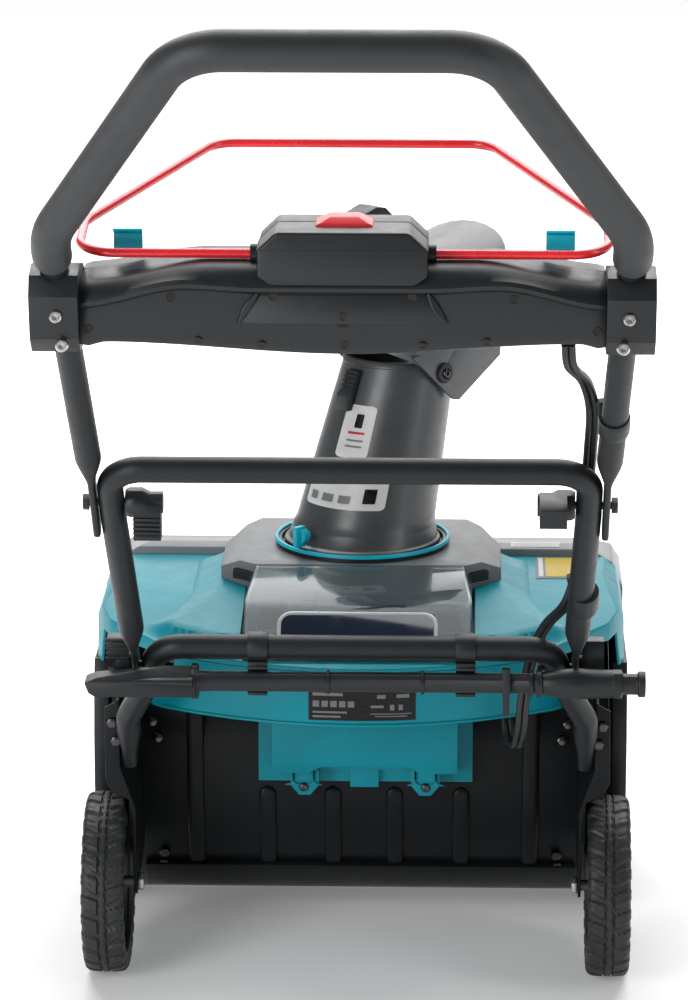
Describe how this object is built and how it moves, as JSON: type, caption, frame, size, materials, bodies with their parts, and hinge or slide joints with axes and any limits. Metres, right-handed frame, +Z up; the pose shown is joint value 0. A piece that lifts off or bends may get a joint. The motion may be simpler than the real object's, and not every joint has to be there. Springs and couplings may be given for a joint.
{
  "type": "snow blower",
  "caption": "Single-stage battery snow blower: wheeled auger housing, turning chute with tilting deflector, battery lid, folding tube handle with bail, and a clipped clean-out tool.",
  "frame": {"origin": "on the ground at the middle of the bounding box", "axes": "+X to the operator's right, +Y forward, towards the auger mouth, +Z up"},
  "size_m": [0.578, 1.2194, 1.1076],
  "materials": {
    "teal_plastic": "satin gloss moulded plastic",
    "cyan_plastic": "semi gloss moulded plastic",
    "red_plastic": "gloss moulded plastic",
    "red_paint": "gloss powder coat",
    "black_plastic": "fine grained matte plastic",
    "black_steel": "satin black powder coat",
    "tube_paint": "satin dark slate powder coat",
    "foam": "matte foam rubber",
    "grey_plastic": "satin dark grey plastic",
    "chute_plastic": "satin charcoal plastic",
    "clear_lid": "clear polycarbonate",
    "battery_navy": "matte dark navy plastic",
    "steel": "brushed",
    "motor_black": "satin black",
    "tyre_rubber": "matte tread rubber",
    "wheel_plastic": "satin black plastic",
    "paddle_rubber": "matte reinforced rubber",
    "cable_rubber": "matte cable jacket"
  },
  "bodies": {
    "machine": {"drum_shell": "black_steel", "side_wall_left": "black_steel", "side_wall_right": "black_steel", "side_cover_left": "black_plastic", "side_cover_right": "black_plastic", "scraper_blade": "steel", "rear_bar": "black_steel", "motor": "motor_black", "drive_belt": "paddle_rubber", "controller": "black_plastic", "wheel_bracket_left": "black_steel", "wheel_bracket_right": "black_steel", "axle_bolt_left": "steel", "axle_bolt_right": "steel", "top_shroud": "teal_plastic", "rear_skirt": "teal_plastic", "front_band": "grey_plastic", "hub_cover": "grey_plastic", "chute_ring": "cyan_plastic", "battery_bay": "teal_plastic", "rear_cover": "teal_plastic", "lower_frame": "tube_paint", "tool_clip_left": "black_plastic", "tool_clip_right": "black_plastic", "cable_pair_lower": "cable_rubber"},
    "motor_rotor": {"motor_pulley": "steel"},
    "auger": {"auger_shaft": "steel", "auger_paddle_a": "paddle_rubber", "auger_paddle_b": "paddle_rubber", "auger_pulley": "steel"},
    "wheel_left": {"tyre_left": "tyre_rubber", "wheel_hub_left": "wheel_plastic"},
    "wheel_right": {"tyre_right": "tyre_rubber", "wheel_hub_right": "wheel_plastic"},
    "lid": {"battery_lid": "clear_lid"},
    "battery_pack": {"battery": "battery_navy"},
    "tool": {"clean_out_tool": "black_plastic"},
    "chute": {"chute_tube": "chute_plastic", "chute_rack": "black_plastic"},
    "chute_lock": {"chute_lock_knob": "cyan_plastic"},
    "deflector": {"deflector_hood": "chute_plastic", "deflector_handle": "black_plastic"},
    "trigger": {"deflector_trigger": "cyan_plastic"},
    "handle_middle": {"middle_frame": "tube_paint", "cable_pair_upper": "cable_rubber"},
    "handle_upper": {"upper_handle": "tube_paint", "foam_grip": "foam", "dash_rear_shell": "black_plastic", "dash_front_shell": "black_plastic", "end_cap_left": "black_plastic", "end_cap_right": "black_plastic", "dash_hook_left": "cyan_plastic", "dash_hook_right": "cyan_plastic"},
    "bail_lever": {"bail": "red_paint"},
    "start_button": {"lock_button": "red_plastic"},
    "knob_upper_left": {"upper_knob_left": "black_plastic"},
    "knob_upper_right": {"upper_knob_right": "black_plastic"},
    "knob_lower_left": {"lower_knob_left": "black_plastic"},
    "knob_lower_right": {"lower_knob_right": "black_plastic"}
  },
  "joints": [
    {"name": "motor_spin", "type": "hinge", "parent": "machine", "child": "motor_rotor", "pos_m": [-0.277, 0.33574, 0.34], "axis": [1, 0, 0], "continuous": true},
    {"name": "auger_spin", "type": "hinge", "parent": "machine", "child": "auger", "pos_m": [-0.004, 0.43574, 0.165], "axis": [1, 0, 0], "continuous": true},
    {"name": "wheel_left_spin", "type": "hinge", "parent": "machine", "child": "wheel_left", "pos_m": [-0.266, 0.17574, 0.095], "axis": [1, 0, 0], "continuous": true},
    {"name": "wheel_right_spin", "type": "hinge", "parent": "machine", "child": "wheel_right", "pos_m": [0.258, 0.17574, 0.095], "axis": [1, 0, 0], "continuous": true},
    {"name": "lid_hinge", "type": "hinge", "parent": "machine", "child": "lid", "pos_m": [-0.004, 0.28174, 0.41], "axis": [1, 0, 0], "range_deg": [-75, 0]},
    {"name": "battery_slide", "type": "slide", "parent": "machine", "child": "battery_pack", "axis": [0, -1, 0], "range_m": [0, 0.004]},
    {"name": "tool_pull", "type": "slide", "parent": "machine", "child": "tool", "axis": [0, -1, 0], "range_m": [0, 0.15]},
    {"name": "chute_turn", "type": "hinge", "parent": "machine", "child": "chute", "pos_m": [-0.004, 0.38274, 0.42], "axis": [0, 0, 1], "range_deg": [-50, 140]},
    {"name": "chute_lock_turn", "type": "hinge", "parent": "chute", "child": "chute_lock", "pos_m": [-0.06014, 0.3266, 0.434], "axis": [-0.7071, -0.7071, 0], "range_deg": [-90, 90]},
    {"name": "deflector_tilt", "type": "hinge", "parent": "chute", "child": "deflector", "pos_m": [0.03355, 0.42029, 0.601], "axis": [0.7071, -0.7071, 0], "range_deg": [-55, 0]},
    {"name": "trigger_squeeze", "type": "hinge", "parent": "deflector", "child": "trigger", "pos_m": [0.00951, 0.39625, 0.752], "axis": [0.7071, -0.7071, 0], "range_deg": [-4, 0], "stiffness_Nm_per_rad": 0.1, "springref_deg": 11.46},
    {"name": "lower_fold", "type": "hinge", "parent": "machine", "child": "handle_middle", "pos_m": [-0.004, 0.08074, 0.361], "axis": [1, 0, 0], "range_deg": [-50, 0], "deforming": ["cable_pair_lower"]},
    {"name": "upper_fold", "type": "hinge", "parent": "handle_middle", "child": "handle_upper", "pos_m": [-0.004, -0.12426, 0.583], "axis": [1, 0, 0], "range_deg": [0, 100], "deforming": ["cable_pair_upper"]},
    {"name": "bail_squeeze", "type": "hinge", "parent": "handle_upper", "child": "bail_lever", "pos_m": [-0.004, -0.35426, 0.872], "axis": [1, 0, 0], "range_deg": [0, 123], "stiffness_Nm_per_rad": 0.3, "springref_deg": -57.3},
    {"name": "start_press", "type": "slide", "parent": "handle_upper", "child": "start_button", "axis": [0, 0, -1], "range_m": [0, 0.004], "stiffness_N_per_m": 300, "springref_m": -0.004},
    {"name": "knob_upper_left_turn", "type": "hinge", "parent": "handle_middle", "child": "knob_upper_left", "pos_m": [-0.22, -0.12426, 0.583], "axis": [1, 0, 0], "range_deg": [-100, 100]},
    {"name": "knob_upper_right_turn", "type": "hinge", "parent": "handle_middle", "child": "knob_upper_right", "pos_m": [0.212, -0.12426, 0.583], "axis": [1, 0, 0], "range_deg": [-25, 100]},
    {"name": "knob_lower_left_turn", "type": "hinge", "parent": "machine", "child": "knob_lower_left", "pos_m": [-0.231, 0.08074, 0.361], "axis": [1, 0, 0], "range_deg": [-100, 45]},
    {"name": "knob_lower_right_turn", "type": "hinge", "parent": "machine", "child": "knob_lower_right", "pos_m": [0.223, 0.08074, 0.361], "axis": [1, 0, 0], "range_deg": [-100, 45]}
  ],
  "couplings": [
    {"joint": "motor_spin", "follows": "auger_spin", "ratio": 6.9444}
  ]
}
